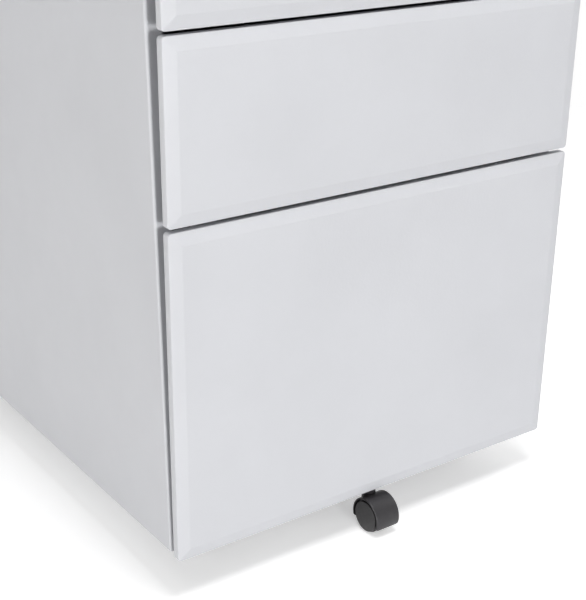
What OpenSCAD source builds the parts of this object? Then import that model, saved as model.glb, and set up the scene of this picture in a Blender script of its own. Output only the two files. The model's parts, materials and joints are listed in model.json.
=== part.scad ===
// Mobile three-drawer filing pedestal in folded sheet steel: two box drawers over
// a file drawer, on four twin-wheel casters and an anti-tip caster under the file drawer.
// Millimetres. Floor at Z = 0, fronts facing -Y, origin under the middle of the whole part.

/* [Cabinet] */
// Width of the case and of the drawer fronts
width = 390; // [350:5:470]
// Depth from the face of the fronts to the back
depth = 500; // [450:5:600]
// Height of the file drawer's front
file_front_h = 268; // [256:1:310]
// Height of each box drawer's front
box_front_h = 131.5; // [120:0.5:160]
// Height of the top cap
cap_h = 23.5; // [23:0.5:40]
// Gap between neighbouring fronts and under the cap
front_gap = 3; // [2:0.5:6]
// Height of the lowest front edge above the floor
front_lift = 36.5; // [35.5:0.5:42]
// Thickness of the folded sheet
sheet = 1; // [0.8:0.1:1.2]

/* [Drawer fronts] */
// Width of the pressed bevel round each front
bevel_w = 10; // [6:0.5:14]
// How far the flat face stands out from the bevel's outer edge
bevel_rise = 2.2; // [1:0.1:4]
// Depth of the folded returns round each front
return_d = 7.5; // [6:0.5:10]
// Corner radius of each front
corner_r = 4; // [3:0.5:8]
// Radius of the pressed outer edge
edge_r = 1.2; // [1.2:0.1:2.6]
// Radius of the fold behind the returns
back_edge_r = 1.2; // [0.8:0.1:1.6]
// Width of the lips folded in behind the returns
lip_w = 8; // [6:0.5:12]

/* [Case] */
// Side finger grip: space behind the returns at the foot of the case
grip_bottom = 4; // [3:0.5:8]
// Side finger grip at the top of the case, whose front leans back
grip_top = 17; // [10:1:20]
// Width of the flanges folded in at the front and the back of the case
flange_w = 14; // [13:0.5:20]
// Outer radius of the case's folds
fold_r = 2; // [1.5:0.1:3]
// Height of the case's lower edge above the lowest front edge
case_rise = 3.5; // [2:0.5:6]
// Height of the base pan's underside above the lowest front edge
pan_rise = 17; // [15:0.5:20]
// Radius of the top cap's upper edge and corners
cap_r = 3; // [2:0.5:5]

/* [Drawer boxes] */
// Box drawer floor above its front's lower edge
box_rise = 16; // [12:1:20]
// Box drawer side below its front's upper edge
box_drop = 24; // [20:1:28]
// File drawer floor above its front's lower edge
file_rise = 27.5; // [27:0.5:34]
// File drawer side below its front's upper edge
file_drop = 16; // [14:1:24]
// Width of the lips folded in along the drawer sides
side_lip = 7; // [6:0.5:9]
// Depth of the pencil tray in the top drawer, front to back
tray_d = 105; // [90:5:130]
// Width of the two wells at its right-hand end
well_w = 90; // [70:5:120]
// Distance from the drawer's outer side to the middle of each hanging-file rib
rib_inset = 3.3; // [2:0.1:5]

/* [Slides] */
// Height of a slide's outer rail
slide_h = 45; // [40:1:50]
// Thickness of a closed slide
slide_w = 12.7; // [12:0.1:14]
// Thickness of the rail steel
rail_t = 1.2; // [1:0.1:1.4]
// Distance from the fronts' edge line to the slides
slide_setback = 30; // [28:1:40]
// Height of a box drawer's slide above the box floor
box_slide_rise = 38; // [34:1:44]
// Height of the file drawer's slide above the box floor
file_slide_rise = 100; // [60:5:130]

/* [Casters] */
// Wheel diameter of the four casters under the case
wheel_d = 40; // [36:1:41]
// Outer radius of their hoods
hood_r = 22; // [21.6:0.1:22.5]
// Width of those casters
caster_w = 34; // [32:0.5:38]
// Distance of their axles from the swivel axis
caster_trail = 16; // [14:0.5:18]
// Distance of their swivel axes from the sides of the case
caster_inset_x = 60; // [56:1:80]
// Distance of their swivel axes from the front and the back
caster_inset_y = 95; // [90:1:120]
// Wheel diameter of the anti-tip caster
tip_wheel_d = 29.6; // [28:0.2:30]
// Outer radius of the anti-tip caster's hood
tip_hood_r = 17; // [16.9:0.1:17.4]
// Width of the anti-tip caster
tip_w = 24.5; // [23:0.5:28]
// Distance of its axle from the swivel axis
tip_trail = 11; // [10:0.5:13]
// Distance of its swivel axis behind the fronts' edge line
tip_setback = 8.5; // [8:0.5:10]

/* [Lock] */
// Distance of the lock's axis from the right-hand side
lock_inset = 35; // [30:1:60]
// Diameter of the turning plug
plug_d = 13; // [12:0.5:14]
// How far the lock bar rises when the key is turned
lock_stroke = 8; // [7:0.5:9]

/* [Hidden] */

$fn = 48;
silver = [0.80, 0.81, 0.83];
zinc = [0.72, 0.73, 0.74];
black = [0.10, 0.10, 0.11];
thin = 0.01;
layer_t = 0.05;
cut = 1;

// Sides and drawers
LEFT = -1;
RIGHT = 1;
FILE = 0;
MIDDLE = 1;
TOP = 2;

// Fits
play = 0.4;
running = 0.05;

// Anti-tip caster's hood, which is the foremost point of the whole part
tip_hood_wall = 1.3;
tip_reach = tip_trail + tip_hood_r - tip_setback - bevel_rise;

// Levels along Y
y_back = (depth + tip_reach) / 2;
y_face = y_back - depth;
y_edge = y_face + bevel_rise;
y_return = y_edge + return_d;
liner_t = 0.8;
y_box = y_return + liner_t;
rear_space = 28;
box_short = 4;
back_flange = 10;
back_drop = 8;
y_box_end = y_back - rear_space - box_short;
y_slide = y_edge + slide_setback;
slide_len = y_back - rear_space - y_slide;

// Levels along Z
file_z = front_lift;
middle_z = file_z + file_front_h + front_gap;
top_z = middle_z + box_front_h + front_gap;
cap_z = top_z + box_front_h + front_gap;
total_h = cap_z + cap_h;
case_z = front_lift + case_rise;
pan_z = front_lift + pan_rise;
pan_t = 1.5;
pan_skirt = 11;

// Levels along X
x_side = width / 2;
x_slide = x_side - flange_w;
x_box = x_slide - slide_w;

// Rake of the case front
case_h = cap_z - case_z;
rake = atan((grip_top - grip_bottom) / case_h);
y_foot = y_return + grip_bottom;

// Slides: ball race between two channels, gap between their webs, and the lips that keep the balls
race = 3.2;
link_h = slide_h - 2 * rail_t - 2 * race;
inner_h = link_h - 2 * rail_t - 2 * race;
web_gap = 0.8;
keeper = 1.6;
flange_clear = 1.5;
upright_d = 30;

// Lock bar, behind the raked flange at its top
bar_w = 8;
bar_t = 2.5;
bar_x = x_side - sheet - 2 - bar_w;
bar_y = y_return + grip_top + sheet + 2.5;
lip_end = bar_y + bar_t + 8;
side_lip_gap = 15;
side_lip_start = lip_end + side_lip_gap;
apron_lip = 12;

// Lock bar's arm, fingers and keepers
arm_h = 9;
arm_end = 3;
bar_foot = 25;
finger_in = 2;
guide_h = 12;
guide_t = 1.2;

// Catches between the lock bar and the drawers
catch_rise = 10;
catch_h = 7.5;
catch_t = 2.5;
catch_gap = 1.5;
catch_reach = 6.5;
catch_foot = 16;
catch_foot_t = 1.5;
finger_h = 7;
finger_clear = 0.8;

// Lock
lock_x = x_side - lock_inset;
lock_z = cap_z + cap_h / 2;
barrel_wall = 2;
barrel_len = 18;
bezel_t = 1.5;
bezel_w = 3;
cam_t = 2;
pin_r = 1.5;
plug_proud = 0.6;
keyway_w = 1.6;
keyway_h = 7;
keyway_d = 8;
crank = lock_stroke / sqrt(2);

// Stems and what they turn in
stem_r = 4;
stem_engage = 24;
neck_r = 8;
nut_h = 5;
nut_r = 7.5;
tip_stem_r = 3.5;
tip_engage = 18;
tip_shank_r = tip_stem_r - 0.7;
tip_neck_r = 6;
tip_nut_r = 6;

// Hoods: wall, half width of the core between the wheels, axle and how far round they wrap below their middle
hood_wall = 1.8;
hood_clear = 0.4;
case_core = 6;
tip_hood_clear = 4.9;
tip_core = 4.6;
axle_r = 2;
hood_wrap = 24;

// Anti-tip bracket
bracket_t = 2.5;
bracket_w = 40;
bracket_leg = 10;
bracket_shelf = 46;
notch_half = 9;
notch_h = 13;

function front_z(i) = [file_z, middle_z, top_z][i];
function front_h(i) = i == FILE ? file_front_h : box_front_h;
function floor_z(i) = front_z(i) + (i == FILE ? file_rise : box_rise);
function rim_z(i) = front_z(i) + front_h(i) - (i == FILE ? file_drop : box_drop);
function slide_z(i) = floor_z(i) + (i == FILE ? file_slide_rise : box_slide_rise);
function catch_z(i) = slide_z(i) + slide_h / 2 + catch_rise;
function finger_z(i) = catch_z(i) - finger_clear - finger_h;

// ---- helpers ----

// Box from one corner to the opposite one
module block(lo, hi) {
    translate(lo)
        cube(hi - lo);
}

// Puts what is made for the right-hand side on either side
module on_side(side) {
    mirror([side == LEFT ? 1 : 0, 0, 0])
        children();
}

// Rectangle with round corners
module round_rect(w, h, r) {
    square([w - 2 * r, h], center = true);
    square([w, h - 2 * r], center = true);
    for (sx = [-1, 1], sy = [-1, 1])
        translate([sx * (w / 2 - r), sy * (h / 2 - r)])
            circle(r, $fn = 32);
}

// Upright plate, centred in X and Z, from y backwards
module plate(y, t) {
    translate([0, y + t, 0])
        rotate([90, 0, 0])
            linear_extrude(t)
                children();
}

// Profile with X across and Y up, drawn out along +Y from y for a length
module along_y(y, length) {
    translate([0, y + length, 0])
        rotate([90, 0, 0])
            linear_extrude(length)
                children();
}

// Fold section: a strip bent at both front corners, open at the back
module fold_section(w, l, r, t) {
    difference() {
        round_nose(w, l, r);
        translate([t, t])
            round_nose(w - 2 * t, l, r - t);
    }
}

module round_nose(w, l, r) {
    translate([r, 0])
        square([w - 2 * r, l]);
    translate([0, r])
        square([w, l - r]);
    for (x = [r, w - r])
        translate([x, r])
            circle(r);
}

// ---- case ----

// Side sheet with a raked, boxed front fold, a rear flange and a top flange
module side_panel(side) {
    color(silver)
        on_side(side)
            difference() {
                union() {
                    front_fold();
                    side_sheet();
                    rear_flange();
                    block([x_slide, side_lip_start, cap_z - sheet], [x_side, y_back, cap_z]);
                }
                if (side == RIGHT)
                    finger_slots();
            }
}

module front_fold() {
    reach = lip_end - y_foot + 2 * fold_r;
    intersection() {
        translate([x_side, y_foot, case_z])
            rotate([-rake, 0, 0])
                translate([0, 0, -cap_h])
                    mirror([1, 0, 0])
                        linear_extrude(case_h + 2 * cap_h)
                            fold_section(flange_w, reach, fold_r, sheet);
        block([0, y_face, case_z], [x_side + cut, lip_end, cap_z]);
    }
}

module side_sheet() {
    inset = fold_r + 1;
    translate([x_side - sheet, 0, 0])
        rotate([90, 0, 90])
            linear_extrude(sheet)
                polygon([
                    [y_foot + inset, case_z],
                    [y_back - fold_r, case_z],
                    [y_back - fold_r, cap_z],
                    [y_return + grip_top + inset, cap_z]
                ]);
}

module rear_flange() {
    translate([x_side, y_back, case_z])
        mirror([0, 1, 0])
            mirror([1, 0, 0])
                linear_extrude(case_h)
                    difference() {
                        fold_section(2 * flange_w, 3 * fold_r, fold_r, sheet);
                        translate([flange_w, -cut])
                            square([2 * flange_w, 4 * fold_r + cut]);
                    }
}

module finger_slots() {
    for (i = [FILE, MIDDLE, TOP])
        block(
            [x_slide - cut, bar_y - 1, finger_z(i) - 1],
            [x_slide + sheet + cut, bar_y + bar_t + 1, finger_z(i) + finger_h + lock_stroke + 1]
        );
}

// Flat sheet against the inner faces of the rear flanges
module back_panel() {
    half = x_side - fold_r - play;
    color(silver)
        block([-half, y_back - 2 * sheet, case_z], [half, y_back - sheet, cap_z - sheet - play / 2]);
}

// Flush top with a rounded upper edge, open underneath inside its folded lips
module top_cap() {
    inner_x = x_side - sheet;
    color(silver)
        difference() {
            cap_form();
            block([-inner_x, y_face + sheet, cap_z + sheet], [inner_x, y_back - sheet, total_h - sheet]);
            block([-x_slide, y_face + apron_lip, cap_z - cut], [x_slide, y_back - flange_w, cap_z + 2 * sheet]);
            block([-inner_x, y_face + apron_lip, cap_z - cut], [inner_x, side_lip_start, cap_z + 2 * sheet]);
            along_y(y_face - cut, sheet + 2 * cut)
                translate([lock_x, lock_z])
                    circle(plug_d / 2 + barrel_wall + running);
        }
}

module cap_form() {
    steps = 4;
    hull() {
        cap_layer(cap_z, cap_h - cap_r, 0);
        for (k = [1:steps])
            cap_layer(total_h - cap_r + cap_r * sin(90 * k / steps) - thin, thin, cap_r * (1 - cos(90 * k / steps)));
    }
}

module cap_layer(z, t, inset) {
    translate([0, (y_face + y_back) / 2, z])
        linear_extrude(t)
            round_rect(width - 2 * inset, depth - 2 * inset, cap_r + thin - inset);
}

// Tray that ties the sides together, with a weld nut over each caster
module base_pan() {
    y0 = lip_end;
    y1 = y_back - 2 * sheet;
    x1 = x_side - sheet;
    color(silver)
        difference() {
            union() {
                block([-x1, y0, pan_z - pan_skirt], [x1, y1, pan_z + pan_t]);
                at_case_casters()
                    translate([0, 0, pan_z + pan_t - thin])
                        cylinder(r = nut_r, h = nut_h, $fn = 6);
            }
            block([-x1 + pan_t, y0 + pan_t, pan_z - pan_skirt - cut], [x1 - pan_t, y1 - pan_t, pan_z]);
            at_case_casters()
                cylinder_between(stem_r, pan_z - cut, pan_z + pan_t + nut_h + cut);
        }
}

// Channel that carries the rear ends of the slides
module rear_upright(side) {
    z0 = pan_z + pan_t;
    color(zinc)
        on_side(side)
            translate([x_slide, y_back - rear_space - upright_d, z0])
                linear_extrude(cap_z - sheet - z0)
                    difference() {
                        square([flange_w - sheet, upright_d]);
                        translate([rail_t, rail_t])
                            square([flange_w, upright_d - 2 * rail_t]);
                    }
}

// ---- telescopic slides, each level of them one channel inside the next ----

// Channel section: web on x = 0, flanges reaching to x = w, and a keeper lip for the
// balls on each flange's end, turned inwards (-1), outwards (1) or left off (0)
module channel(w, h, lip) {
    bend = 2 * rail_t;
    difference() {
        translate([0, -h / 2])
            rounded_web(w, h, bend);
        translate([rail_t, rail_t - h / 2])
            rounded_web(w, h - 2 * rail_t, bend - rail_t);
    }
    for (end = [-1, 1])
        translate([w - rail_t / 2, end * (h / 2 - rail_t / 2 + lip * keeper / 2)])
            square([rail_t, abs(lip) * keeper + rail_t], center = true);
}

// Rectangle from x = 0, with its two corners there rounded
module rounded_web(w, h, r) {
    translate([r, 0])
        square([w - r, h]);
    translate([0, r])
        square([w, h - 2 * r]);
    for (y = [r, h - r])
        translate([r, y])
            circle(r);
}

// Rail of the right-hand slide, web at x0 and flanges towards x1, on either side
module slide_rail(side, i, x0, x1, h, lip) {
    color(zinc)
        on_side(side)
            translate([0, 0, slide_z(i)])
                along_y(y_slide, slide_len)
                    translate([x0, 0])
                        mirror([x1 < x0 ? 1 : 0, 0])
                            channel(abs(x1 - x0), h, lip);
}

module outer_rail(side, i) {
    slide_rail(side, i, x_slide, x_box + flange_clear, slide_h, -1);
}

module link_rail(side, i) {
    slide_rail(side, i, x_slide - rail_t - web_gap, x_box + flange_clear, link_h, 0);
}

module inner_rail(side, i) {
    slide_rail(side, i, x_box, x_slide - 2 * rail_t - web_gap - flange_clear, inner_h, 1);
}

// ---- drawers ----

// Solid form of a pressed front: a mitred bevel, a rounded edge and square returns,
// which end in a fold of radius br
module pressed_form(w, h, d, r, er, br, steps) {
    slope = atan(bevel_rise / bevel_w);
    centre = er * (1 - sin(slope)) / cos(slope);
    hull() {
        plate(centre, d - br - centre)
            round_rect(w, h, r);
        for (k = [1:steps])
            pressed_layer(w, h, r, er, centre, (90 - slope) * k / steps);
        if (br > 0)
            for (k = [1:3])
                pressed_layer(w, h, r, br, d - br, -30 * k);
        plate(-bevel_rise, thin)
            square([w - 2 * bevel_w, h - 2 * bevel_w], center = true);
    }
}

module pressed_layer(w, h, r, er, centre, a) {
    inset = er * (1 - cos(a));
    plate(centre - er * sin(a) - (a < 0 ? layer_t : 0), layer_t)
        round_rect(w - 2 * inset, h - 2 * inset, r - inset);
}

// Pressed front pan with lips folded in behind its returns
module drawer_front(i) {
    h = front_h(i);
    color(silver)
        difference() {
            translate([0, y_edge, front_z(i) + h / 2])
                difference() {
                    pressed_form(width, h, return_d, corner_r, edge_r, back_edge_r, 4);
                    translate([0, sheet, 0])
                        pressed_form(
                            width - 2 * sheet, h - 2 * sheet, return_d - 2 * sheet,
                            corner_r - sheet, edge_r - sheet, 0, 1
                        );
                    plate(0, return_d + cut)
                        square([width - 2 * lip_w, h - 2 * lip_w], center = true);
                }
            if (i == FILE)
                stem_notch();
        }
}

// Room for the anti-tip caster's stem and nut behind the file drawer's front
module stem_notch() {
    y0 = y_edge + tip_setback - tip_stem_r - 2 * play;
    block([-notch_half, y0, front_lift - cut], [notch_half, y_box + cut, front_lift + notch_h]);
}

module front_liner(i) {
    margin = 4;
    color(silver)
        difference() {
            block(
                [margin - x_side, y_return, front_z(i) + margin],
                [x_side - margin, y_box, front_z(i) + front_h(i) - margin]
            );
            if (i == FILE)
                stem_notch();
        }
}

// Folded floor, sides and front wall, with lips along the sides
module drawer_box(i) {
    inner = x_box - sheet;
    color(silver)
        difference() {
            block([-x_box, y_box, floor_z(i)], [x_box, y_box_end, rim_z(i)]);
            block([-inner, y_box + sheet, floor_z(i) + sheet], [inner, y_box_end + cut, rim_z(i) - sheet]);
            block(
                [side_lip - x_box, y_box + sheet, floor_z(i) + sheet],
                [x_box - side_lip, y_box_end + cut, rim_z(i) + cut]
            );
        }
}

// Clip on a drawer's right-hand side that the lock bar's finger stops
module lock_catch(i) {
    y0 = bar_y + bar_t + catch_gap;
    color(zinc)
        translate([0, 0, catch_z(i)])
            linear_extrude(catch_h) {
                translate([x_box, y0])
                    square([catch_reach, catch_t]);
                translate([x_box, y0])
                    square([catch_foot_t, catch_foot]);
            }
}

// Back of a drawer box, with flanges turned to the rear along its sides and foot
module box_back(i) {
    inner = x_box - sheet;
    color(silver)
        difference() {
            block([-inner, y_box_end - back_flange, floor_z(i) + sheet], [inner, y_box_end, rim_z(i) - back_drop]);
            block(
                [sheet - inner, y_box_end - back_flange + sheet, floor_z(i) + 2 * sheet],
                [inner - sheet, y_box_end + cut, rim_z(i) - back_drop - sheet]
            );
        }
}

// Two ribs on the file drawer's side lips that carry hanging folders
module hanging_file_ribs() {
    foot_t = 1.5;
    rib_t = 2;
    rib_h = 9;
    y0 = y_box + 6;
    y1 = y_box_end - 6;
    color(black)
        for (side = [LEFT, RIGHT])
            on_side(side) {
                block([x_box - side_lip, y0, rim_z(FILE)], [x_box, y1, rim_z(FILE) + foot_t]);
                block(
                    [x_box - rib_inset - rib_t / 2, y0, rim_z(FILE)],
                    [x_box - rib_inset + rib_t / 2, y1, rim_z(FILE) + foot_t + rib_h]
                );
            }
}

// Moulded tray with a row of pen troughs and small wells, hung on the top drawer's side lips
module pencil_tray() {
    tray_h = 18;
    wall = 2;
    rim_t = 1.6;
    half = x_box - side_lip - play;
    y0 = y_box + sheet + play;
    z1 = rim_z(TOP) + rim_t;
    trough_r = (tray_d - 5 * wall) / 8;
    split = half - well_w;
    color(black)
        difference() {
            union() {
                block([play - x_box, y0, rim_z(TOP)], [x_box - play, y0 + tray_d, z1]);
                block([-half, y0, z1 - tray_h], [half, y0 + tray_d, z1]);
            }
            for (k = [0:3])
                translate([wall - half, y0 + wall + trough_r + k * (2 * trough_r + wall), z1 + thin])
                    rotate([0, 90, 0])
                        cylinder(r = trough_r, h = half + split - 2 * wall);
            for (k = [0, 1])
                block(
                    [split + wall, y0 + wall + k * (tray_d - wall) / 2, z1 - tray_h + wall],
                    [half - wall, y0 + (k + 1) * (tray_d - wall) / 2, z1 + cut]
                );
        }
}

// Bracket that carries the anti-tip caster under the file drawer
module anti_tip_bracket() {
    half = bracket_w / 2;
    nose = notch_half - play;
    y0 = y_edge + tip_setback - tip_stem_r - play;
    y_leg = y_edge + tip_setback + bracket_leg;
    y_end = y_leg + bracket_shelf;
    foot_z = front_lift + sheet;
    shelf_z = floor_z(FILE) - bracket_t;
    color(zinc)
        difference() {
            union() {
                block([-nose, y0, foot_z], [nose, y_leg, foot_z + bracket_t]);
                block([-half, y_box + play, foot_z], [half, y_leg + bracket_t, foot_z + bracket_t]);
                block([-half, y_leg, foot_z], [half, y_leg + bracket_t, floor_z(FILE)]);
                block([-half, y_leg, shelf_z], [half, y_end, floor_z(FILE)]);
            }
            translate([0, y_edge + tip_setback, foot_z - cut])
                cylinder(r = tip_shank_r, h = bracket_t + 2 * cut);
        }
}

// Stem of the anti-tip caster, with a shoulder below the bracket and a nut above it
module anti_tip_stem() {
    foot_z = front_lift + sheet;
    color(zinc)
        translate([0, y_edge + tip_setback, 0]) {
            translate([0, 0, foot_z - tip_engage])
                cylinder(r = tip_stem_r, h = tip_engage);
            cylinder_between(tip_shank_r, foot_z - thin, foot_z + bracket_t + nut_h + 1);
            translate([0, 0, foot_z + bracket_t])
                cylinder(r = tip_nut_r, h = nut_h - 1, $fn = 6);
        }
}

module cylinder_between(r, z0, z1) {
    translate([0, 0, z0])
        cylinder(r = r, h = z1 - z0);
}

// ---- lock ----

module lock_housing() {
    r = plug_d / 2;
    color(zinc)
        difference() {
            union() {
                lock_disc(r + barrel_wall, y_face, barrel_len);
                lock_disc(r + bezel_w, y_face - bezel_t, bezel_t);
            }
            lock_disc(r + running, y_face - bezel_t - cut, barrel_len + bezel_t + 2 * cut);
        }
}

// Round piece on the lock's axis, from y backwards
module lock_disc(r, y, length) {
    along_y(y, length)
        translate([lock_x, lock_z])
            circle(r);
}

module lock_plug() {
    y0 = y_face - bezel_t - plug_proud;
    color(zinc)
        difference() {
            lock_disc(plug_d / 2, y0, barrel_len + bezel_t + plug_proud + play);
            along_y(y0 - cut, keyway_d + cut)
                translate([lock_x, lock_z])
                    square([keyway_w, keyway_h], center = true);
        }
}

// Disc on the plug's end, with the crank pin that lifts the lock bar
module lock_cam() {
    y0 = y_face + barrel_len + play;
    color(zinc) {
        lock_disc(crank + pin_r + 1, y0, cam_t);
        along_y(y0, bar_y + bar_t + 1 - y0)
            translate([lock_x - crank / sqrt(2), lock_z - crank / sqrt(2)])
                circle(pin_r);
    }
}

// Upright bar with an arm for the crank pin and a finger for each drawer's catch
module lock_bar() {
    arm_z = lock_z - lock_stroke / 2;
    slot_end = crank + pin_r + play;
    slot_start = crank / sqrt(2) - pin_r - play;
    z0 = finger_z(FILE) - bar_foot;
    color(zinc)
        difference() {
            union() {
                block([bar_x, bar_y, z0], [bar_x + bar_w, bar_y + bar_t, arm_z + arm_h / 2]);
                block(
                    [lock_x - slot_end - arm_end, bar_y, arm_z - arm_h / 2],
                    [bar_x + bar_w, bar_y + bar_t, arm_z + arm_h / 2]
                );
                for (i = [FILE, MIDDLE, TOP])
                    block(
                        [x_box + finger_in, bar_y, finger_z(i)],
                        [bar_x + thin, bar_y + bar_t, finger_z(i) + finger_h]
                    );
            }
            block(
                [lock_x - slot_end, bar_y - cut, arm_z - pin_r - play],
                [lock_x - slot_start, bar_y + bar_t + cut, arm_z + pin_r + play]
            );
        }
}

// Two keepers on the right-hand side sheet, each round the lock bar
module lock_bar_guides() {
    color(black)
        for (i = [MIDDLE, TOP])
            difference() {
                block(
                    [bar_x - play - guide_t, bar_y - play - guide_t, front_z(i) - guide_h],
                    [x_side - sheet, bar_y + bar_t + play + guide_t, front_z(i)]
                );
                block(
                    [bar_x - play, bar_y - play, front_z(i) - guide_h - cut],
                    [bar_x + bar_w + play, bar_y + bar_t + play, front_z(i) + cut]
                );
            }
}

// ---- casters ----

function caster_x(side) = side * (x_side - caster_inset_x);
function caster_y(end) = end < 0 ? y_edge + caster_inset_y : y_back - caster_inset_y;

module at_case_casters() {
    for (side = [LEFT, RIGHT], end = [-1, 1])
        translate([caster_x(side), caster_y(end), 0])
            children();
}

module caster_stems() {
    color(zinc)
        at_case_casters()
            cylinder_between(stem_r, pan_z - play - stem_engage, pan_z + pan_t + nut_h + 1);
}

// Cylinder along X about the axle, between two distances from the middle
module about_axle(r, trail, axle_z, x0, x1) {
    translate([x0, -trail, axle_z])
        rotate([0, 90, 0])
            cylinder(r = r, h = x1 - x0);
}

// Moulded hood over two wheels, on its swivel axis: a drum with a pocket for each
// wheel, cut off level below the axle, and a neck bored for the stem
module caster_hood(wheel_r, drum_r, drum_z, w, trail, wall, core, neck_r, top_z, bore_r, bore_len) {
    lowest = drum_z - drum_r * sin(hood_wrap);
    color(black)
        difference() {
            union() {
                about_axle(drum_r, trail, drum_z, -w / 2, w / 2);
                cylinder_between(neck_r, wheel_r, top_z);
            }
            about_axle(drum_r - wall, trail, drum_z, core, w);
            about_axle(drum_r - wall, trail, drum_z, -w, -core);
            about_axle(axle_r + running, trail, wheel_r, -w, w);
            block([-w, -trail - 2 * drum_r, -drum_r], [w, 2 * drum_r, lowest]);
            cylinder_between(bore_r, top_z - bore_len, top_z + cut);
        }
}

// Two wheels pressed on one axle, on the swivel axis of their hood
module wheel_pair(wheel_r, w, trail, core) {
    proud = 0.8;
    color(black)
        translate([0, -trail, wheel_r])
            rotate([0, 90, 0]) {
                cylinder(r = axle_r, h = w - 2, center = true);
                for (end = [0, 1])
                    mirror([0, 0, end])
                        rotate_extrude()
                            polygon([
                                [0, core + play + 1.2],
                                [wheel_r * 0.3, core + play],
                                [wheel_r - 1.2, core + play],
                                [wheel_r, core + play + 0.8],
                                [wheel_r, w / 2 - 1.6],
                                [wheel_r - 0.5, w / 2 - 0.6],
                                [wheel_r - 1.6, w / 2],
                                [wheel_r * 0.5, w / 2 + proud * 0.8],
                                [0, w / 2 + proud]
                            ]);
            }
}

module case_caster_hood(side, end) {
    translate([caster_x(side), caster_y(end), 0])
        caster_hood(
            wheel_d / 2, hood_r, pan_z - pan_skirt - hood_clear - hood_r, caster_w, caster_trail,
            hood_wall, case_core, neck_r, pan_z - play, stem_r + running, stem_engage + play
        );
}

module case_caster_wheels(side, end) {
    translate([caster_x(side), caster_y(end), 0])
        wheel_pair(wheel_d / 2, caster_w, caster_trail, case_core);
}

module anti_tip_caster_hood() {
    translate([0, y_edge + tip_setback, 0])
        caster_hood(
            tip_wheel_d / 2, tip_hood_r, front_lift - tip_hood_clear - tip_hood_r, tip_w, tip_trail,
            tip_hood_wall, tip_core, tip_neck_r, front_lift - play, tip_stem_r + running, tip_engage - sheet
        );
}

module anti_tip_caster_wheels() {
    translate([0, y_edge + tip_setback, 0])
        wheel_pair(tip_wheel_d / 2, tip_w, tip_trail, tip_core);
}

side_panel(LEFT);  // left_side_panel
side_panel(RIGHT);  // right_side_panel
back_panel();
top_cap();
base_pan();
rear_upright(LEFT);  // left_rear_upright
rear_upright(RIGHT);  // right_rear_upright
lock_housing();
lock_bar_guides();
caster_stems();
outer_rail(LEFT, FILE);  // file_left_outer_rail
outer_rail(RIGHT, FILE);  // file_right_outer_rail
outer_rail(LEFT, MIDDLE);  // middle_left_outer_rail
outer_rail(RIGHT, MIDDLE);  // middle_right_outer_rail
outer_rail(LEFT, TOP);  // top_left_outer_rail
outer_rail(RIGHT, TOP);  // top_right_outer_rail
link_rail(LEFT, FILE);  // file_left_link_rail
link_rail(RIGHT, FILE);  // file_right_link_rail
link_rail(LEFT, MIDDLE);  // middle_left_link_rail
link_rail(RIGHT, MIDDLE);  // middle_right_link_rail
link_rail(LEFT, TOP);  // top_left_link_rail
link_rail(RIGHT, TOP);  // top_right_link_rail
inner_rail(LEFT, FILE);  // file_left_inner_rail
inner_rail(RIGHT, FILE);  // file_right_inner_rail
inner_rail(LEFT, MIDDLE);  // middle_left_inner_rail
inner_rail(RIGHT, MIDDLE);  // middle_right_inner_rail
inner_rail(LEFT, TOP);  // top_left_inner_rail
inner_rail(RIGHT, TOP);  // top_right_inner_rail
drawer_front(FILE);  // file_front
drawer_front(MIDDLE);  // middle_front
drawer_front(TOP);  // top_front
front_liner(FILE);  // file_front_liner
front_liner(MIDDLE);  // middle_front_liner
front_liner(TOP);  // top_front_liner
drawer_box(FILE);  // file_box
drawer_box(MIDDLE);  // middle_box
drawer_box(TOP);  // top_box
box_back(FILE);  // file_box_back
box_back(MIDDLE);  // middle_box_back
box_back(TOP);  // top_box_back
lock_catch(FILE);  // file_lock_catch
lock_catch(MIDDLE);  // middle_lock_catch
lock_catch(TOP);  // top_lock_catch
hanging_file_ribs();
pencil_tray();
anti_tip_bracket();
anti_tip_stem();
lock_plug();
lock_cam();
lock_bar();
case_caster_hood(LEFT, -1);  // front_left_caster_hood
case_caster_hood(RIGHT, -1);  // front_right_caster_hood
case_caster_hood(LEFT, 1);  // rear_left_caster_hood
case_caster_hood(RIGHT, 1);  // rear_right_caster_hood
anti_tip_caster_hood();
case_caster_wheels(LEFT, -1);  // front_left_caster_wheels
case_caster_wheels(RIGHT, -1);  // front_right_caster_wheels
case_caster_wheels(LEFT, 1);  // rear_left_caster_wheels
case_caster_wheels(RIGHT, 1);  // rear_right_caster_wheels
anti_tip_caster_wheels();
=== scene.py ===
"""Mobile filing pedestal: finishes, detailed pieces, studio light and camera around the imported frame."""
import json
import math

import bmesh
import bpy
from mathutils import Matrix, Vector


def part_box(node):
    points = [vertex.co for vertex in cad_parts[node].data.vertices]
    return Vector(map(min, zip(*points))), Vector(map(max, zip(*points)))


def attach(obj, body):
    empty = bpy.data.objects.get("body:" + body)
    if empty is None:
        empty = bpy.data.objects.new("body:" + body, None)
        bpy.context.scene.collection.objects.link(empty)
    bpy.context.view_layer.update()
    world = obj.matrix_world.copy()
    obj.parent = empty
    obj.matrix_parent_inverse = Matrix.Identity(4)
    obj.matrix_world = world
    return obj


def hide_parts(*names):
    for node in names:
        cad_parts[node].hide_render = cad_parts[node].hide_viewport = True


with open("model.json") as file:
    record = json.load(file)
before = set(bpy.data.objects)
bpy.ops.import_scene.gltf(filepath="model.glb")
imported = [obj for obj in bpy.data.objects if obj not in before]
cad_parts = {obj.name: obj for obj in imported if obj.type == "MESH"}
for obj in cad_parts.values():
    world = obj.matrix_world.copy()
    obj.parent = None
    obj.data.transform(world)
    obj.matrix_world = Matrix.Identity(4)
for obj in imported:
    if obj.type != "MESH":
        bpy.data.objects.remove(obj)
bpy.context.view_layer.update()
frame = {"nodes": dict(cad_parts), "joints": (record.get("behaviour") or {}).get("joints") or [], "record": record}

MM = 0.001
nodes = frame["nodes"]
scene = bpy.context.scene

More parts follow.
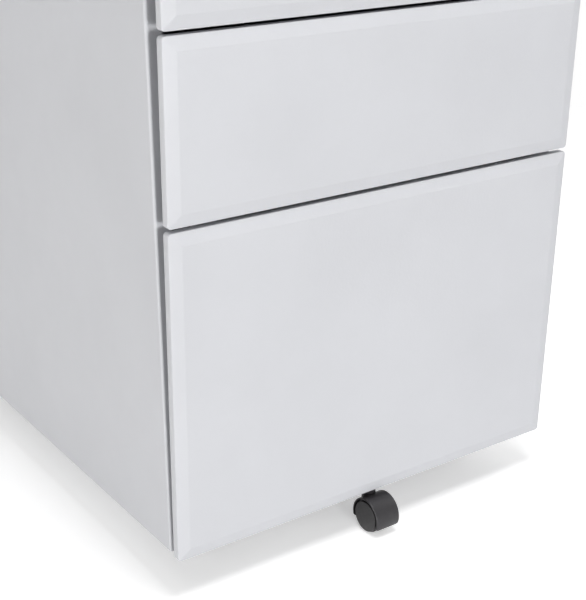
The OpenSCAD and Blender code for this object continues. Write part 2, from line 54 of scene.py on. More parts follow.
# ---- places taken from the frame ----

DRAWERS = ("file", "middle", "top")
JOINTS = {joint["name"]: joint for joint in frame["joints"]}
SUBPARTS = {part["node"]: part for part in frame["record"]["subparts"]}
BODIES = frame["record"]["behaviour"]["bodies"]
BODY_OF = {node: body for body, members in BODIES.items() for node in members}
SOFT_EDGES = {"pencil_tray": 0.5, "hanging_file_ribs": 0.4, "anti_tip_bracket": 0.4}
SOFT_EDGES.update({drawer + form: 0.3 for form in ("_box", "_box_back") for drawer in DRAWERS})

front_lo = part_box("file_front")[0]
case_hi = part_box("left_side_panel")[1]
cap_lo, cap_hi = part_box("top_cap")
BEVEL_RISE = 2.2 * MM
FRONT_EDGE_Y = front_lo[1] + BEVEL_RISE


# ---- node helpers ----

def new_material(name):
    """A material with an empty tree, its shader and its output."""
    mat = bpy.data.materials.new(name)
    mat.use_nodes = True
    tree = mat.node_tree
    tree.nodes.clear()
    out = tree.nodes.new("ShaderNodeOutputMaterial")
    shader = tree.nodes.new("ShaderNodeBsdfPrincipled")
    tree.links.new(shader.outputs["BSDF"], out.inputs["Surface"])
    return mat, tree, shader


def noise(tree, scale, detail=3.0, rough=0.5, stretch=(1.0, 1.0, 1.0)):
    """Noise over the object's own metres, which ride with the piece."""
    coord = tree.nodes.new("ShaderNodeTexCoord")
    mapping = tree.nodes.new("ShaderNodeMapping")
    mapping.inputs["Scale"].default_value = stretch
    tex = tree.nodes.new("ShaderNodeTexNoise")
    tex.inputs["Scale"].default_value = scale
    tex.inputs["Detail"].default_value = detail
    tex.inputs["Roughness"].default_value = rough
    tree.links.new(coord.outputs["Object"], mapping.inputs["Vector"])
    tree.links.new(mapping.outputs["Vector"], tex.inputs["Vector"])
    return tex.outputs["Fac"]


def ramp(tree, fac, low, high, start=0.3, end=0.7):
    """Colour ramp between two colours over part of a noise's range."""
    node = tree.nodes.new("ShaderNodeValToRGB")
    node.color_ramp.elements[0].position = start
    node.color_ramp.elements[0].color = (*low, 1.0)
    node.color_ramp.elements[1].position = end
    node.color_ramp.elements[1].color = (*high, 1.0)
    tree.links.new(fac, node.inputs["Fac"])
    return node.outputs["Color"]


def spread(tree, fac, low, high):
    """Maps a noise to a range of one value."""
    node = tree.nodes.new("ShaderNodeMapRange")
    node.inputs["From Min"].default_value = 0.3
    node.inputs["From Max"].default_value = 0.7
    node.inputs["To Min"].default_value = low
    node.inputs["To Max"].default_value = high
    tree.links.new(fac, node.inputs["Value"])
    return node.outputs["Result"]


def bump(tree, shader, layers):
    """Chains bump nodes: (height, strength, distance in metres) each."""
    normal = None
    for height, strength, distance in layers:
        node = tree.nodes.new("ShaderNodeBump")
        node.inputs["Strength"].default_value = strength
        node.inputs["Distance"].default_value = distance
        tree.links.new(height, node.inputs["Height"])
        if normal:
            tree.links.new(normal, node.inputs["Normal"])
        normal = node.outputs["Normal"]
    tree.links.new(normal, shader.inputs["Normal"])


def maths(tree, operation, first, second):
    """Math node over two outputs or numbers."""
    node = tree.nodes.new("ShaderNodeMath")
    node.operation = operation
    for socket, value in zip(node.inputs, (first, second)):
        if isinstance(value, (int, float)):
            socket.default_value = value
        else:
            tree.links.new(value, socket)
    return node.outputs[0]


def scaled(colour, factor):
    """The colour made darker or lighter."""
    return tuple(c * factor for c in colour)


def mottle(tree, shader, colour, fac, low, high):
    """Base colour that runs between two shades of one colour."""
    shades = ramp(tree, fac, scaled(colour, low), scaled(colour, high))
    tree.links.new(shades, shader.inputs["Base Color"])


# ---- materials ----

def powder_coat(name, colour):
    """Fine satin powder coat: orange peel, a faint mottle and uneven gloss."""
    mat, tree, shader = new_material(name)
    clouds = noise(tree, scale=9.0, detail=4.0, rough=0.55)
    gloss = noise(tree, scale=60.0)
    orange_peel = noise(tree, scale=420.0, detail=2.0)
    grain = noise(tree, scale=1900.0, detail=2.0)
    mottle(tree, shader, colour, clouds, 0.975, 1.02)
    tree.links.new(spread(tree, gloss, 0.50, 0.60), shader.inputs["Roughness"])
    shader.inputs["Specular IOR Level"].default_value = 0.3
    bump(tree, shader, [(orange_peel, 0.18, 0.0004), (grain, 0.12, 0.0001)])
    return mat


def zinc_plate(name, colour, rough):
    """Zinc-plated rolled strip: streaks along the rolling direction and cloudy plating."""
    mat, tree, shader = new_material(name)
    clouds = noise(tree, scale=35.0, detail=4.0, rough=0.6)
    streaks = noise(tree, scale=300.0, stretch=(1.0, 0.04, 1.0))
    mottle(tree, shader, colour, clouds, 0.88, 1.05)
    shader.inputs["Metallic"].default_value = 1.0
    tree.links.new(spread(tree, streaks, rough - 0.06, rough + 0.08), shader.inputs["Roughness"])
    bump(tree, shader, [(streaks, 0.15, 0.0002)])
    return mat


def moulded_plastic(name, colour, rough, grain):
    """Moulded plastic with a fine spark-eroded grain."""
    mat, tree, shader = new_material(name)
    patches = noise(tree, scale=140.0)
    gloss = noise(tree, scale=500.0, detail=2.0)
    sparks = noise(tree, scale=1500.0, detail=2.0)
    mottle(tree, shader, colour, patches, 0.85, 1.2)
    tree.links.new(spread(tree, gloss, rough - 0.05, rough + 0.07), shader.inputs["Roughness"])
    shader.inputs["Specular IOR Level"].default_value = 0.45
    bump(tree, shader, [(sparks, grain, 0.0002)])
    return mat


FINISHES = {
    "painted_steel": powder_coat("painted_steel", (0.655, 0.662, 0.690)),
    "zinc_steel": zinc_plate("zinc_steel", (0.62, 0.63, 0.64), 0.34),
    "lock_chrome": zinc_plate("lock_chrome", (0.5, 0.5, 0.51), 0.3),
    "caster_plastic": moulded_plastic("caster_plastic", (0.0205, 0.019, 0.0215), 0.37, 0.2),
    "wheel_plastic": moulded_plastic("wheel_plastic", (0.017, 0.016, 0.017), 0.4, 0.2),
    "black_plastic": moulded_plastic("black_plastic", (0.035, 0.035, 0.037), 0.5, 0.35),
}

for node, part in SUBPARTS.items():
    mesh = nodes[node].data
    mesh.materials.clear()
    mesh.materials.append(FINISHES[part["material_slot"]])


# ---- mesh helpers ----

ALONG_X = Matrix.Rotation(math.pi / 2, 3, "Y")
AGAINST_X = Matrix.Rotation(-math.pi / 2, 3, "Y")
ALONG_Y = Matrix.Rotation(-math.pi / 2, 3, "X")
ALONG_Z = Matrix.Identity(3)


def bridge(bm, ring_a, ring_b):
    """Band of faces between two rings of as many points."""
    count = len(ring_a)
    for k in range(count):
        after = (k + 1) % count
        bm.faces.new((ring_a[k], ring_a[after], ring_b[after], ring_b[k]))


def loft(bm, rings, closed=False):
    """Skin over a row of rings, closed into a loop or capped at both ends."""
    for ring_a, ring_b in zip(rings, rings[1:]):
        bridge(bm, ring_a, ring_b)
    if closed:
        bridge(bm, rings[-1], rings[0])
    else:
        bm.faces.new(rings[0])
        bm.faces.new(rings[-1])


def lathe(bm, profile, place, turn=ALONG_Z, steps=64, closed=False):
    """Turns (radius, along) points in millimetres about an axis through place."""
    rings = []
    for radius, along in profile:
        ring = []
        for k in range(steps):
            a = 2 * math.pi * k / steps
            point = Vector((radius * math.cos(a), radius * math.sin(a), along)) * MM
            ring.append(bm.verts.new(Vector(place) + turn @ point))
        rings.append(ring)
    loft(bm, rings, closed)


def prism(bm, outline, y0, y1):
    """Outline of (x, z) points drawn out along Y, all in metres."""
    rings = [[bm.verts.new((x, y, z)) for x, z in outline] for y in (y0, y1)]
    loft(bm, rings)


def arc(centre, radius, start, end, steps):
    """Points on an arc, from one angle to another in degrees."""
    points = []
    for k in range(steps + 1):
        a = math.radians(start + (end - start) * k / steps)
        points.append((centre[0] + radius * math.cos(a), centre[1] + radius * math.sin(a)))
    return points


def block(bm, lo, hi):
    """Box between two corners in metres, for cuts."""
    prism(bm, [(lo[0], lo[2]), (hi[0], lo[2]), (hi[0], hi[2]), (lo[0], hi[2])], lo[1], hi[1])


def solid(name, bm):
    """Object from mesh data, with its normals outwards."""
    bmesh.ops.recalc_face_normals(bm, faces=bm.faces)
    mesh = bpy.data.meshes.new(name)
    bm.to_mesh(mesh)
    bm.free()
    piece = bpy.data.objects.new(name, mesh)
    scene.collection.objects.link(piece)
    return piece


def combine(piece, other, operation):
    """Boolean of a piece with another, which is used up."""
    step = piece.modifiers.new("combine", "BOOLEAN")
    step.operation = operation
    step.solver = "EXACT"
    step.object = other
    graph = bpy.context.evaluated_depsgraph_get()
    result = bpy.data.meshes.new_from_object(piece.evaluated_get(graph))
    piece.modifiers.clear()
    piece.data = result
    bpy.data.objects.remove(other)


def dress(piece, slot, body, sharp=32.0, stands_for=()):
    """Gives a piece its finish and its body, and hides the nodes that it stands for."""
    piece.data.materials.clear()
    piece.data.materials.append(FINISHES[slot])
    piece.data.shade_smooth()
    piece.data.set_sharp_from_angle(angle=math.radians(sharp))
    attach(piece, body)
    if stands_for:
        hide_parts(*stands_for)


# ---- drawer fronts ----

# Sizes of the pressed sheet in millimetres
SHEET = 1.0
BEVEL_W = 10.0
RETURN_D = 7.5
CORNER_R = 3.0
EDGE_R = 0.6
BACK_EDGE_R = 1.2
LIP_W = 8.0
FACE_R = 0.5
CREASE_HALF_W = 0.4
INNER_RELIEF = 0.2


def rounded_ring(bm, lo, hi, inset, y, radius):
    """Rectangle with round corners, inset from the front's outline, all in millimetres but lo and hi."""
    corner_steps = 8
    half_x = (hi[0] - lo[0]) / 2 - inset * MM
    half_z = (hi[2] - lo[2]) / 2 - inset * MM
    mid = (lo + hi) / 2
    edge = lo[1] + BEVEL_RISE
    ring = []
    for side_x, side_z, start in ((1, 1, 0), (-1, 1, 90), (-1, -1, 180), (1, -1, 270)):
        centre = (mid[0] + side_x * (half_x - radius * MM), mid[2] + side_z * (half_z - radius * MM))
        for x, z in arc(centre, radius * MM, start, start + 90, corner_steps):
            ring.append(bm.verts.new((x, edge + y * MM, z)))
    return ring


def front_section():
    """Section of a front as (inset, y, corner radius), from the face round the return to its back."""
    rise = BEVEL_RISE / MM
    slope = math.atan2(rise, BEVEL_W)
    centre = EDGE_R * (1 - math.sin(slope)) / math.cos(slope)
    rows = []
    for t in (0.0, 0.25, 0.5, 0.75, 1.0):
        inset = BEVEL_W + CREASE_HALF_W - 2 * CREASE_HALF_W * t
        rows.append((inset, -rise + CREASE_HALF_W * rise / BEVEL_W * t * t, FACE_R))
    for inset, y in arc((EDGE_R, centre), EDGE_R, 270 - math.degrees(slope), 180, 7):
        rows.append((inset, y, CORNER_R - inset))
    for inset, y in arc((BACK_EDGE_R, RETURN_D - BACK_EDGE_R), BACK_EDGE_R, 180, 90, 6):
        rows.append((inset, y, CORNER_R - inset))
    rows += [
        (LIP_W, RETURN_D, FACE_R),
        (LIP_W, RETURN_D - SHEET, FACE_R),
        (SHEET + INNER_RELIEF, RETURN_D - SHEET, CORNER_R - SHEET - INNER_RELIEF),
        (SHEET, RETURN_D - SHEET - INNER_RELIEF, CORNER_R - SHEET),
        (SHEET, centre + 0.1, CORNER_R - SHEET),
        (BEVEL_W, SHEET - rise, FACE_R),
    ]
    return rows


def pressed_front(drawer):
    """Bevelled pan of one drawer; the file drawer's has a notch for the anti-tip stem."""
    node = drawer + "_front"
    lo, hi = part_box(node)
    bm = bmesh.new()
    loft(bm, [rounded_ring(bm, lo, hi, *row) for row in front_section()])
    piece = solid(node + "_pan", bm)
    if drawer == "file":
        notch_half, notch_top, notch_y, beyond = 9 * MM, 13 * MM, 4.2 * MM, 20 * MM
        bm = bmesh.new()
        block(
            bm,
            (-notch_half, lo[1] + BEVEL_RISE + notch_y, lo[2] - beyond),
            (notch_half, hi[1] + beyond, lo[2] + notch_top),
        )
        combine(piece, solid("notch", bm), "DIFFERENCE")
    dress(piece, "painted_steel", drawer + "_drawer", 20.0, [node])


for drawer in DRAWERS:
    pressed_front(drawer)


# ---- casters ----

HOOD_WRAP = math.radians(24)
CASE_CASTERS = ("front_left", "front_right", "rear_left", "rear_right")


def caster_sizes(name):
    """A caster's place in metres and its sizes in millimetres, from its nodes and its joints."""
    tip = name == "anti_tip"
    hood_lo, hood_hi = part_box(name + "_caster_hood")
    wheel_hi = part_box(name + "_caster_wheels")[1]
    swivel = JOINTS[name + "_swivel"]["pos_m"]
    axle = JOINTS[name + "_roll"]["pos_m"]
    drum_r = (axle[1] - hood_lo[1]) / MM
    return {
        "place": Vector((swivel[0], swivel[1], 0.0)),
        "trail": (swivel[1] - axle[1]) / MM,
        "wheel_r": wheel_hi[2] / 2 / MM,
        "half_w": (hood_hi[0] - hood_lo[0]) / 2 / MM,
        "drum_r": drum_r,
        "drum_z": hood_lo[2] / MM + drum_r * math.sin(HOOD_WRAP),
        "lowest": hood_lo[2] / MM,
        "top": hood_hi[2] / MM,
        "wall": 1.3 if tip else 1.8,
        "core": 4.6 if tip else 6.0,
        "neck_r": 6.0 if tip else 8.0,
        "corner_r": 3.4 if tip else 4.0,
    }


def drum(c, profile, closed=True):
    """Form turned about the hood's own axis, which runs close to the axle."""
    bm = bmesh.new()
    lathe(bm, profile, (0, -c["trail"] * MM, c["drum_z"] * MM), ALONG_X, 112, closed)
    return bm


def hood_mesh(c):
    """Moulded hood: a drum with a pocket for each wheel, its edges rounded, under a neck for the stem."""
    bore, rim, fillet, root, chamfer, overlap, above = 2.05, 0.25, 0.9, 1.0, 0.5, 0.02, 5
    half, outer, pocket, core = c["half_w"], c["drum_r"], c["drum_r"] - c["wall"], c["core"]
    side = [(bore, core), (pocket - root, core), (pocket - 0.3 * root, core + 0.3 * root)]
    side += [(pocket, core + root), (pocket, half - rim), (pocket + rim, half)]
    side += arc((outer - fillet, half - fillet), fillet, 90, 0, 5)
    hood = solid("hood", drum(c, side + [(r, -x) for r, x in reversed(side)]))

    low, high, reach = c["lowest"], c["top"] + above, 3 * outer
    corner = c["corner_r"]
    outline = [(half, high), (-half, high)]
    outline += arc((corner - half, low + corner), corner, 180, 270, 8)
    outline += arc((half - corner, low + corner), corner, 270, 360, 8)
    bm = bmesh.new()
    prism(bm, [(x * MM, z * MM) for x, z in outline], -reach * MM, reach * MM)
    combine(hood, solid("trim", bm), "INTERSECT")

    neck_r, top, cut_r = c["neck_r"], c["top"], pocket - overlap
    bm = bmesh.new()
    stub = [(neck_r, c["wheel_r"]), (neck_r, top - chamfer), (neck_r - chamfer, top)]
    lathe(bm, stub, (0, 0, 0), steps=72)
    neck = solid("neck", bm)
    for sign in (-1, 1):
        cut = drum(c, [(cut_r, sign * core), (cut_r, sign * 2 * half)], closed=False)
        combine(neck, solid("pocket", cut), "DIFFERENCE")
    combine(hood, neck, "UNION")
    mesh = hood.data
    bpy.data.objects.remove(hood)
    return mesh


def wheels_mesh(c):
    """Two wheels on one axle, each a tread and a smaller crowned disc that leaves a groove in the hood."""
    play_in, play_out, axle_r, axle_end = 0.4, 0.15, 2.0, 2.0
    radius, inner, outer = c["wheel_r"], c["core"] + play_in, c["half_w"] - play_out
    disc_r, disc_w, edge, crown = radius - 1.1, 2.6, 0.6, 0.45
    # One wheel as (radius, distance from the middle): hub, inner flank, tread, groove, disc
    wheel = [(0.8, inner + 0.8), (radius * 0.3, inner + 0.6), (radius * 0.34, inner), (radius - 0.7, inner)]
    wheel += [(radius - 0.2, inner + 0.25), (radius, inner + 0.7)]
    wheel += [(radius, outer - disc_w - 0.6), (radius - 0.25, outer - disc_w)]
    wheel.append((disc_r, outer - disc_w + 0.1))
    wheel += arc((disc_r - edge, outer - edge), edge, 0, 90, 6)
    for share in (0.85, 0.7, 0.55, 0.4, 0.25, 0.06):
        wheel.append((disc_r * share, outer + crown * (1 - share * share)))
    bm = bmesh.new()
    place = (0, -c["trail"] * MM, radius * MM)
    for sign in (-1, 1):
        lathe(bm, [(r, sign * x) for r, x in wheel], place, ALONG_X, 96)
    lathe(bm, [(axle_r, axle_end - c["half_w"]), (axle_r, c["half_w"] - axle_end)], place, ALONG_X, 32)
    piece = solid("wheels", bm)
    mesh = piece.data
    bpy.data.objects.remove(piece)
    return mesh


def add_casters(names):
    """Casters of one size: their hoods and wheels are made once and copied to each swivel axis."""
    sizes = caster_sizes(names[0])
    hood, wheels = hood_mesh(sizes), wheels_mesh(sizes)
    for name in names:
        place = Matrix.Translation(caster_sizes(name)["place"])
        for mesh, kind, node, slot, body in (
            (hood, "_hood_shell", "_caster_hood", "caster_plastic", "_caster"),
            (wheels, "_wheel_pair", "_caster_wheels", "wheel_plastic", "_wheels"),
        ):
            copy = mesh.copy()
            copy.transform(place)
            piece = bpy.data.objects.new(name + kind, copy)
            scene.collection.objects.link(piece)
            dress(piece, slot, name + body, 32.0, [name + node])


add_casters(CASE_CASTERS)
add_casters(["anti_tip"])


# ---- slides: balls in their cages, and screws ----

# Millimetres. A cage's balls, web and edges lie at these depths from the case's side of the slide, and
# its strip reaches past the middle of the balls' row by cover.
RAIL_T = 1.2
RACE = 3.2
BALL_R = 1.5
BALL_PITCH = 9.0
BALLS = 13
STRIP_T = 0.4
REAR_START = 222
FRONT_START = 12
REAR_ROW = {"balls_x": 5.6, "web_x": 1.4, "end_x": 8.0, "cover": STRIP_T / 2}
FRONT_ROW = {"balls_x": 8.6, "web_x": 3.6, "end_x": 10.4, "cover": 0.9}


def ball_cage(bm, x_slide, sign, z_mid, y0, row_z, row):
    """Row of balls above and below, in a folded strip whose web runs between the rails' webs."""
    web_x, end_x, strip_z = row["web_x"], row["end_x"], row_z + row["cover"]
    x = x_slide - sign * row["balls_x"] * MM
    for k in range(BALLS):
        y = y0 + (k + 0.5) * BALL_PITCH * MM
        for end in (-1, 1):
            place = Matrix.Translation((x, y, z_mid + end * row_z * MM))
            bmesh.ops.create_icosphere(bm, subdivisions=2, radius=BALL_R * MM, matrix=place)
    t = STRIP_T
    section = [(end_x, -strip_z), (web_x, -strip_z), (web_x, strip_z), (end_x, strip_z)]
    section += [(end_x, strip_z - t), (web_x + t, strip_z - t)]
    section += [(web_x + t, t - strip_z), (end_x, t - strip_z)]
    outline = [(x_slide - sign * depth * MM, z_mid + z * MM) for depth, z in section]
    prism(bm, outline, y0, y0 + BALLS * BALL_PITCH * MM)


def slide_cages(drawer, side):
    """Both cages of one slide: outer to link rail at its rear, link to inner rail at its front."""
    lo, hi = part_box(f"{drawer}_{side}_outer_rail")
    link_lo, link_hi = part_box(f"{drawer}_{side}_link_rail")
    sign = 1 if side == "right" else -1
    x_slide = hi[0] if side == "right" else lo[0]
    z_mid = (lo[2] + hi[2]) / 2
    link_half = (link_hi[2] - link_lo[2]) / 2 / MM
    inner_half = link_half - RAIL_T - RACE
    bm = bmesh.new()
    ball_cage(bm, x_slide, sign, z_mid, lo[1] + REAR_START * MM, link_half + RACE / 2, REAR_ROW)
    ball_cage(bm, x_slide, sign, z_mid, lo[1] + FRONT_START * MM, inner_half + RACE / 2, FRONT_ROW)
    dress(solid(f"{drawer}_{side}_ball_cages", bm), "zinc_steel", drawer + "_link_rails", 40.0)


def pan_head(bm, place, turn, radius=2.8, height=1.5):
    """Pan-head screw with a hexagon socket, its head standing along the axis."""
    dome = [(radius * 0.98, 0.0), (radius, height * 0.35), (radius * 0.93, height * 0.7)]
    dome += [(radius * 0.75, height * 0.92), (radius * 0.55, height)]
    steps, socket, depth = 24, radius * 0.45, height * 0.75
    angles = [2 * math.pi * k / steps for k in range(steps)]
    rings = [[(r * math.cos(a), r * math.sin(a), along) for a in angles] for r, along in dome]
    hexagon = []
    for a in angles:
        reach = socket * math.cos(math.pi / 6) / math.cos((a % (math.pi / 3)) - math.pi / 6)
        hexagon.append((reach * math.cos(a), reach * math.sin(a)))
    for along in (height, height - depth):
        rings.append([(x, y, along) for x, y in hexagon])
    loft(bm, [[bm.verts.new(Vector(place) + turn @ (Vector(p) * MM)) for p in ring] for ring in rings])


def drawer_screws(drawer):
    """Screws through the inner rails into the drawer's sides, and through its front wall into the front."""
    rail_places, front_x, front_shares = (40, 190, 400), 105, (0.22, 0.62)
    bm = bmesh.new()
    for side in ("left", "right"):
        lo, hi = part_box(f"{drawer}_{side}_inner_rail")
        sign = 1 if side == "right" else -1
        x = (lo[0] if side == "right" else hi[0]) + sign * RAIL_T * MM
        turn = ALONG_X if side == "right" else AGAINST_X
        for along in rail_places:
            pan_head(bm, (x, lo[1] + along * MM, (lo[2] + hi[2]) / 2), turn)
    lo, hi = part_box(drawer + "_box")
    for x in (-front_x * MM, front_x * MM):
        for share in front_shares:
            z = lo[2] + (hi[2] - lo[2]) * share
            pan_head(bm, (x, lo[1] + SHEET * MM, z), ALONG_Y, 3.4, 1.9)
    dress(solid(drawer + "_screws", bm), "zinc_steel", drawer + "_drawer", 30.0)


for drawer in DRAWERS:
    for side in ("left", "right"):
        slide_cages(drawer, side)
    drawer_screws(drawer)


# ---- lock ----

def add_lock():
    """Lock barrel with its bezel, and the plug with a stepped keyway."""
    lo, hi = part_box("lock_housing")
    plug_lo, plug_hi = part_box("lock_plug")
    axis = Vector(((lo[0] + hi[0]) / 2, 0, (lo[2] + hi[2]) / 2))
    face_y, front, back = cap_lo[1] / MM, lo[1] / MM, hi[1] / MM
    bore, bezel_r, barrel_r = 6.55, 9.5, 8.5
    key_depth, key_halves = 8, ((0.8, 3.5), (1.5, 0.9))
    # Half section as (radius, y): bezel round its front to the face of the cap, then the barrel
    ring = [(bore, front + 0.5), (bore + 0.4, front + 0.05), (bore + 0.6, front), (bezel_r - 0.9, front)]
    ring += [(bezel_r - 0.25, front + 0.3), (bezel_r, front + 0.8), (bezel_r, face_y)]
    ring += [(barrel_r, face_y), (barrel_r, back), (bore, back)]
    bm = bmesh.new()
    lathe(bm, ring, axis, ALONG_Y, 72, closed=True)
    dress(solid("lock_barrel", bm), "lock_chrome", "case", 30.0, ["lock_housing"])

    y0, y1 = plug_lo[1] / MM, plug_hi[1] / MM
    plug_r = (plug_hi[0] - plug_lo[0]) / 2 / MM
    disc = [(0.5, y0 + 0.25), (3.9, y0 + 0.25), (4.3, y0)]
    disc += [(plug_r - 0.5, y0), (plug_r, y0 + 0.5), (plug_r, y1)]
    bm = bmesh.new()
    lathe(bm, disc, axis, ALONG_Y, 72)
    plug = solid("lock_key_plug", bm)
    for half_w, half_h in key_halves:
        bm = bmesh.new()
        block(
            bm,
            (axis[0] - half_w * MM, (y0 - 1) * MM, axis[2] - half_h * MM),
            (axis[0] + half_w * MM, (y0 + key_depth) * MM, axis[2] + half_h * MM),
        )
        combine(plug, solid("keyway", bm), "DIFFERENCE")
    dress(plug, "lock_chrome", "lock_plug", 30.0, ["lock_plug"])


add_lock()


# ---- top cap ----

def cap_corner_beads():
    """Ground weld beads in the top cap's corners, where its folds meet."""
    cap_r, bead_r, root_r, depth, taper = 3.0, 2.85, 1.8, 5.0, 1.5
    profile = [(root_r, -depth), (bead_r, taper - depth)] + arc((0, 0), bead_r, 0, 85, 6)
    bm = bmesh.new()
    for x in (cap_lo[0] + cap_r * MM, cap_hi[0] - cap_r * MM):
        for y in (cap_lo[1] + cap_r * MM, cap_hi[1] - cap_r * MM):
            lathe(bm, profile, (x, y, cap_hi[2] - cap_r * MM), steps=32)
    dress(solid("cap_corner_beads", bm), "painted_steel", "case")


cap_corner_beads()


# ---- folded and moulded pieces with softened edges ----

def softened(node, width, segments=2, sharp=30.0):
    """The node's own form with its edges rounded."""
    bm = bmesh.new()
    bm.from_mesh(nodes[node].data)
    bmesh.ops.remove_doubles(bm, verts=bm.verts, dist=1e-6)
    bmesh.ops.dissolve_limit(bm, angle_limit=math.radians(1.0), verts=bm.verts, edges=bm.edges)
    edges = [e for e in bm.edges if len(e.link_faces) == 2 and e.calc_face_angle() > math.radians(sharp)]
    bmesh.ops.bevel(
        bm, geom=edges, offset=width * MM, offset_type="OFFSET", segments=segments,
        profile=0.5, affect="EDGES", clamp_overlap=True,
    )
    dress(solid(node + "_form", bm), SUBPARTS[node]["material_slot"], BODY_OF[node], 30.0, [node])


for node, width in SOFT_EDGES.items():
    softened(node, width)


# ---- studio ----

WHITE = (1.0, 1.0, 1.0)
WARM = (1.0, 0.99, 0.97)
# Name, degrees from the front to the left, degrees up, metres away, metres wide, watts, colour
SOFTBOXES = (
    ("front", 10, 0, 2.5, 0.5, 23.8, WHITE),
    ("left", 80, 2, 2.4, 0.6, 17.5, WARM),
    ("above", 5, 70, 1.7, 0.6, 13, WHITE),
    ("overhead", 75, 60, 2.6, 1.2, 7, WHITE),
    ("right", -80, 25, 3.2, 1.6, 17, WHITE),
    ("back", -150, 30, 3.2, 1.6, 24, WHITE),
)


def light_path_mask(tree):
    """1 for what the camera sees, directly, mirrored or through glass, and 0 for light on a surface."""
    path = tree.nodes.new("ShaderNodeLightPath")
    total = path.outputs["Is Camera Ray"]
    for name in ("Is Glossy Ray", "Is Transmission Ray"):
        total = maths(tree, "MAXIMUM", total, path.outputs[name])
    return total


def painted_contact_shade(tree):
    """Painted contact shadow for the floor's glow: 1 on the open floor, less where the floor is covered closely.
    """
    reach, samples, darkest, open_from = 0.2, 8, 0.5, 0.13
    contact = tree.nodes.new("ShaderNodeAmbientOcclusion")
    contact.samples = samples
    contact.inputs["Distance"].default_value = reach
    shade = tree.nodes.new("ShaderNodeMapRange")
    shade.inputs["From Max"].default_value = open_from
    shade.inputs["To Min"].default_value = darkest
    tree.links.new(contact.outputs["AO"], shade.inputs["Value"])
    return shade.outputs["Result"]


def distance_fade(tree, start, end):
    """0 up to one distance from the middle of the floor and 1 beyond another, in metres."""
    coord = tree.nodes.new("ShaderNodeTexCoord")
    reach = tree.nodes.new("ShaderNodeVectorMath")
    reach.operation = "LENGTH"
    fade = tree.nodes.new("ShaderNodeMapRange")
    fade.interpolation_type = "SMOOTHSTEP"
    fade.inputs["From Min"].default_value = start
    fade.inputs["From Max"].default_value = end
    tree.links.new(coord.outputs["Object"], reach.inputs[0])
    tree.links.new(reach.outputs["Value"], fade.inputs["Value"])
    return fade.outputs["Result"]


def floor_material():
    """Matt and pale, with a glow that only the camera and mirrors see, dimmed under the cabinet into a painted
    contact shadow, and plain white far out.
    """
    seen, felt, glow_share = 0.93, 0.95, 0.47
    fade_from, fade_to = 0.75, 1.5
    mat = bpy.data.materials.new("floor")
    mat.use_nodes = True
    tree = mat.node_tree
    tree.nodes.clear()
    out = tree.nodes.new("ShaderNodeOutputMaterial")
    mask = light_path_mask(tree)
    matt = tree.nodes.new("ShaderNodeBsdfDiffuse")
    tree.links.new(ramp(tree, mask, (felt,) * 3, (seen,) * 3, 0.0, 1.0), matt.inputs["Color"])
    glow = tree.nodes.new("ShaderNodeEmission")
    share = maths(tree, "MULTIPLY", mask, glow_share)
    # The glow is dimmed where the floor is closely covered: a painted contact shadow under the cabinet.
    tree.links.new(maths(tree, "MULTIPLY", share, painted_contact_shade(tree)), glow.inputs["Strength"])
    near = tree.nodes.new("ShaderNodeAddShader")
    tree.links.new(matt.outputs[0], near.inputs[0])
    tree.links.new(glow.outputs[0], near.inputs[1])
    white = tree.nodes.new("ShaderNodeEmission")
    both = tree.nodes.new("ShaderNodeMixShader")
    far_share = maths(tree, "MULTIPLY", mask, distance_fade(tree, fade_from, fade_to))
    tree.links.new(far_share, both.inputs["Fac"])
    tree.links.new(near.outputs[0], both.inputs[1])
    tree.links.new(white.outputs[0], both.inputs[2])
    tree.links.new(both.outputs[0], out.inputs["Surface"])
    return mat


def make_floor():
    """Square floor at the casters' feet."""
    half = 8.0
    corners = [(-half, -half, 0), (half, -half, 0), (half, half, 0), (-half, half, 0)]
    mesh = bpy.data.meshes.new("floor")
    mesh.from_pydata(corners, [], [(0, 1, 2, 3)])
    mesh.materials.append(floor_material())
    floor = bpy.data.objects.new("floor", mesh)
    scene.collection.objects.link(floor)


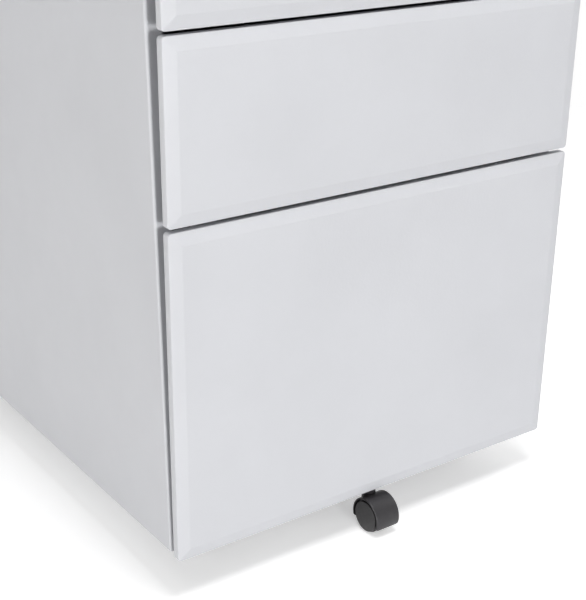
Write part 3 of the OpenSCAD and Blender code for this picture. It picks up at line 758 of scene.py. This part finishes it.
def make_world(strength):
    """Plain surrounding light, white where it is seen."""
    world = bpy.data.worlds.new("studio")
    scene.world = world
    world.use_nodes = True
    tree = world.node_tree
    tree.nodes.clear()
    out = tree.nodes.new("ShaderNodeOutputWorld")
    seen = tree.nodes.new("ShaderNodeBackground")
    fill = tree.nodes.new("ShaderNodeBackground")
    fill.inputs["Strength"].default_value = strength
    mix = tree.nodes.new("ShaderNodeMixShader")
    tree.links.new(light_path_mask(tree), mix.inputs["Fac"])
    tree.links.new(fill.outputs[0], mix.inputs[1])
    tree.links.new(seen.outputs[0], mix.inputs[2])
    tree.links.new(mix.outputs[0], out.inputs["Surface"])
    seen.inputs["Color"].default_value = (1.0, 1.0, 1.0, 1.0)
    fill.inputs["Color"].default_value = (1.0, 1.0, 1.0, 1.0)


def softbox(name, azimuth, elevation, distance, size, power, colour):
    """Round softbox aimed at the cabinet's middle."""
    middle = Vector((0, (front_lo[1] + case_hi[1]) / 2, case_hi[2] / 2))
    a, e = math.radians(azimuth), math.radians(elevation)
    way = Vector((-math.sin(a) * math.cos(e), -math.cos(a) * math.cos(e), math.sin(e)))
    data = bpy.data.lights.new(name, "AREA")
    data.shape = "DISK"
    data.size = size
    data.energy = power
    data.color = colour
    lamp = bpy.data.objects.new(name, data)
    lamp.location = middle + way * distance
    lamp.rotation_euler = (-way).to_track_quat("-Z", "Y").to_euler()
    scene.collection.objects.link(lamp)


def make_camera():
    """Camera at the picture's viewing angle, placed from the file drawer's lower left corner."""
    corner = Vector((front_lo[0], FRONT_EDGE_Y, front_lo[2]))
    from_corner = Vector((-407.55, -718.14, 556.4)) * MM
    azimuth = math.radians(35.613)
    elevation = math.radians(-24.274)
    roll = math.radians(0.647)
    sensor, lens, shift = 36.0, 75.6624, 0.075
    place = corner + from_corner
    forward = Vector((
        math.sin(azimuth) * math.cos(elevation),
        math.cos(azimuth) * math.cos(elevation),
        math.sin(elevation),
    ))
    right = forward.cross(Vector((0, 0, 1))).normalized()
    up = right.cross(forward)
    right, up = (
        right * math.cos(roll) + up * math.sin(roll),
        up * math.cos(roll) - right * math.sin(roll),
    )
    data = bpy.data.cameras.new("camera")
    data.sensor_width = sensor
    data.lens = lens
    data.shift_y = shift
    data.clip_start = 0.01
    camera = bpy.data.objects.new("camera", data)
    camera.matrix_world = Matrix((
        (right.x, up.x, -forward.x, place.x),
        (right.y, up.y, -forward.y, place.y),
        (right.z, up.z, -forward.z, place.z),
        (0, 0, 0, 1),
    ))
    scene.collection.objects.link(camera)
    scene.camera = camera


make_camera()
make_floor()
make_world(0.15)
for light in SOFTBOXES:
    softbox(*light)
scene.view_settings.view_transform = "Standard"
